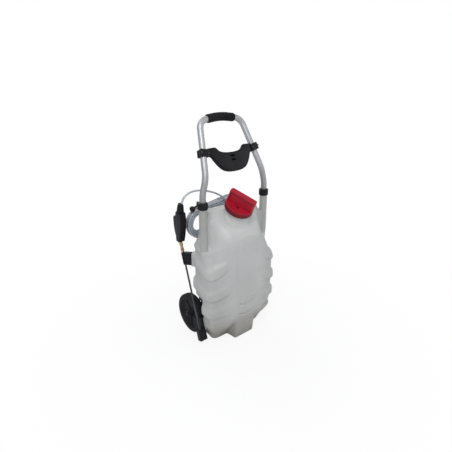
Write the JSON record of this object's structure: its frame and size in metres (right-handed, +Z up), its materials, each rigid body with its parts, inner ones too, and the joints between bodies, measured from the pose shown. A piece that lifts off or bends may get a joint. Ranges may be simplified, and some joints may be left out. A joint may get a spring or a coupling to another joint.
{
  "type": "wheeled battery sprayer cart",
  "caption": "Upright sprayer cart: ribbed tank on two wheels with a telescoping tube handle, a screw cap, a stowed spray gun with its lance and a hank of hose behind.",
  "frame": {"origin": "on the floor, in the middle plane, below the legs of the handle", "axes": "+Z up, +X the cart's right seen from its front, +Y its back"},
  "size_m": [0.4108, 0.3085, 0.9845],
  "materials": {
    "tank_plastic": "satin, translucent",
    "red_plastic": "semi gloss",
    "black_plastic": "satin",
    "dark_plastic": "matt",
    "grip_foam": "matt",
    "seal_rubber": "matt",
    "tyre_rubber": "matt",
    "alloy": "satin anodised",
    "steel": "satin",
    "brass": "satin",
    "nylon": "satin",
    "hose_pvc": "clear, bluish",
    "board_green": "matt",
    "signal_red": "satin"
  },
  "bodies": {
    "tank_unit": {"tank": "tank_plastic", "fill_strainer": "black_plastic", "tube_guides": "nylon", "collar_collets": "dark_plastic", "axle": "steel", "axle_spacers": "nylon", "axle_caps": "black_plastic", "rear_carrier": "black_plastic", "carrier_screws": "steel", "pump_housing": "black_plastic", "housing_screws": "steel", "pump_motor": "steel", "pump_head": "black_plastic", "pump_hoses": "dark_plastic", "tank_outlet": "black_plastic", "battery_pack": "dark_plastic", "control_board": "board_green", "door_pin": "steel", "switch_bezel": "dark_plastic", "charge_socket": "dark_plastic", "hose_loop": "hose_pvc", "hose_hank": "hose_pvc", "hose_tail": "hose_pvc", "hose_hooks": "black_plastic", "outlet_barb": "brass", "lance_clip": "black_plastic", "lance_cup": "black_plastic"},
    "handle": {"handle_tube": "alloy", "handle_grip": "grip_foam", "tube_plugs": "dark_plastic", "harness_hanger": "black_plastic", "hanger_clamps": "black_plastic", "hanger_screws": "steel"},
    "left_collar": {"collar_left": "black_plastic"},
    "right_collar": {"collar_right": "black_plastic"},
    "cap_seal": {"cap_seal": "seal_rubber"},
    "cap": {"fill_cap": "red_plastic", "cap_vent": "red_plastic"},
    "left_wheel": {"tyre_left": "tyre_rubber", "rim_left": "dark_plastic", "wheel_bushes_left": "nylon"},
    "right_wheel": {"tyre_right": "tyre_rubber", "rim_right": "dark_plastic", "wheel_bushes_right": "nylon"},
    "wand": {"gun_body_left": "black_plastic", "gun_body_right": "black_plastic", "gun_screws": "steel", "gun_valve": "brass", "trigger_pin": "steel", "trigger_spring": "steel", "hose_nut": "black_plastic", "lance_nut": "brass", "lance_tube": "steel", "nozzle_body": "brass"},
    "trigger": {"gun_trigger": "black_plastic"},
    "lock": {"trigger_lock": "signal_red"},
    "nozzle": {"nozzle_cap": "black_plastic"},
    "rocker": {"power_switch": "signal_red"},
    "battery_lid": {"battery_door": "black_plastic"},
    "socket_flap": {"socket_cap": "seal_rubber"}
  },
  "joints": [
    {"name": "handle_slide", "type": "slide", "parent": "tank_unit", "child": "handle", "axis": [0, 0, 1], "range_m": [0, 0.1]},
    {"name": "left_collar_twist", "type": "hinge", "parent": "tank_unit", "child": "left_collar", "pos_m": [-0.165, 0, 0.642], "axis": [0, 0, 1], "range_deg": [0, 90]},
    {"name": "right_collar_twist", "type": "hinge", "parent": "tank_unit", "child": "right_collar", "pos_m": [0.165, 0, 0.642], "axis": [0, 0, 1], "range_deg": [0, 90]},
    {"name": "cap_lift", "type": "slide", "parent": "tank_unit", "child": "cap_seal", "axis": [0, -0.4695, 0.8829], "range_m": [0, 0.019]},
    {"name": "cap_turn", "type": "hinge", "parent": "cap_seal", "child": "cap", "pos_m": [0, -0.005, 0.5746], "axis": [0, -0.4695, 0.8829], "range_deg": [0, 540]},
    {"name": "left_wheel_spin", "type": "hinge", "parent": "tank_unit", "child": "left_wheel", "pos_m": [-0.1645, 0.109, 0.093], "axis": [1, 0, 0], "continuous": true},
    {"name": "right_wheel_spin", "type": "hinge", "parent": "tank_unit", "child": "right_wheel", "pos_m": [0.1645, 0.109, 0.093], "axis": [1, 0, 0], "continuous": true},
    {"name": "wand_lift", "type": "slide", "parent": "tank_unit", "child": "wand", "axis": [0, 0.3123, 0.95], "range_m": [0, 0.12], "deforming": ["hose_loop"]},
    {"name": "trigger_squeeze", "type": "hinge", "parent": "wand", "child": "trigger", "pos_m": [-0.2, 0.13311, 0.48728], "axis": [1, 0, 0], "range_deg": [0, 12], "stiffness_Nm_per_rad": 0.6, "springref_deg": -14.32},
    {"name": "trigger_lock_slide", "type": "slide", "parent": "wand", "child": "lock", "axis": [0, -0.1392, 0.9903], "range_m": [0, 0.006]},
    {"name": "nozzle_twist", "type": "hinge", "parent": "wand", "child": "nozzle", "pos_m": [-0.2, -0.016, 0.04], "axis": [0, 0.3123, 0.95], "range_deg": [0, 180]},
    {"name": "power_rocker", "type": "hinge", "parent": "tank_unit", "child": "rocker", "pos_m": [-0.04, 0.1503, 0.262], "axis": [1, 0, 0], "range_deg": [0, 20]},
    {"name": "battery_lid_hinge", "type": "hinge", "parent": "tank_unit", "child": "battery_lid", "pos_m": [0, 0.0923, 0.319], "axis": [1, 0, 0], "range_deg": [0, 90]},
    {"name": "socket_flap_hinge", "type": "hinge", "parent": "tank_unit", "child": "socket_flap", "pos_m": [0.048, 0.1579, 0.275], "axis": [1, 0, 0], "range_deg": [0, 110]}
  ],
  "couplings": [
    {"joint": "cap_lift", "follows": "cap_turn", "m_per_rad": 0.0019099}
  ]
}
